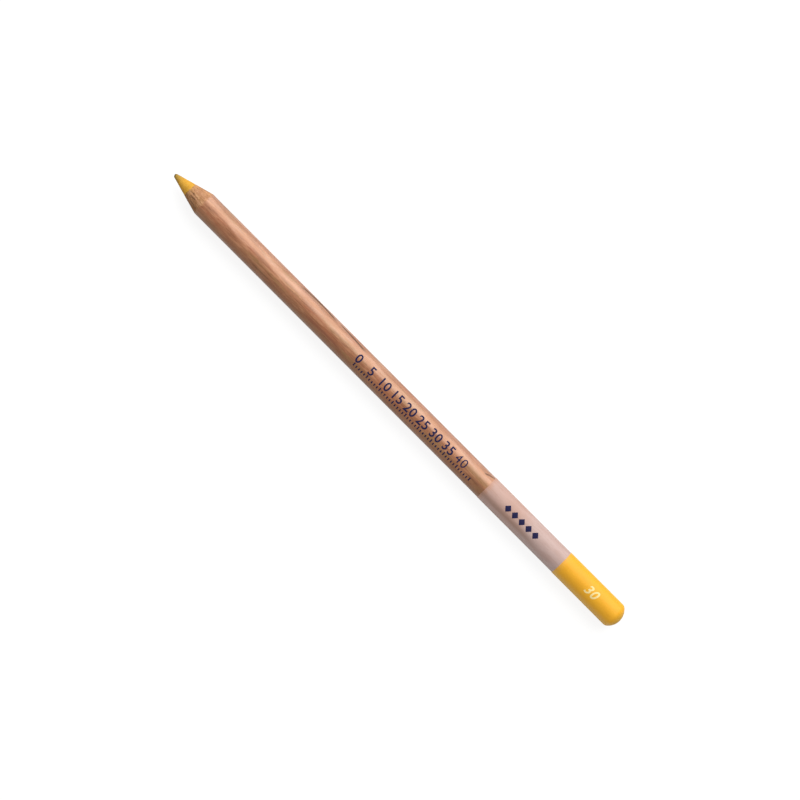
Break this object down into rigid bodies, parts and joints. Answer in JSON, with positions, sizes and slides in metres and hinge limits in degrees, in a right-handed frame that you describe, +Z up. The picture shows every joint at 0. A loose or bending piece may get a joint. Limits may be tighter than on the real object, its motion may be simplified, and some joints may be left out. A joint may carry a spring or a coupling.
{
  "type": "pastel pencil",
  "caption": "Round cedar pencil with a sharpened yellow pastel core, clear-varnished barrel, pale pearl band and domed yellow end.",
  "frame": {"origin": "the middle of the pencil's length, on its axis", "axes": "+X along the axis towards the point; +Z up, towards the side of the barrel that carries the marks; the glued seam between the slats lies in the XY plane"},
  "size_m": [0.175, 0.0078, 0.0078],
  "materials": {
    "cedar": "clear varnish on the barrel, bare and fibrous where sharpened",
    "pastel": "dry, chalky pressed pigment",
    "pearl_lacquer": "thin pale lacquer with a pearly sheen",
    "yellow_lacquer": "thin glossy yellow lacquer",
    "navy_ink": "thin printed ink on the barrel and the pale band, in the visual model only",
    "pale_ink": "thin printed ink on the yellow end, in the visual model only"
  },
  "bodies": {
    "root": {"upper_slat": "cedar", "lower_slat": "cedar", "pastel_core": "pastel", "pale_dip": "pearl_lacquer", "colour_dip": "yellow_lacquer"}
  },
  "joints": []
}
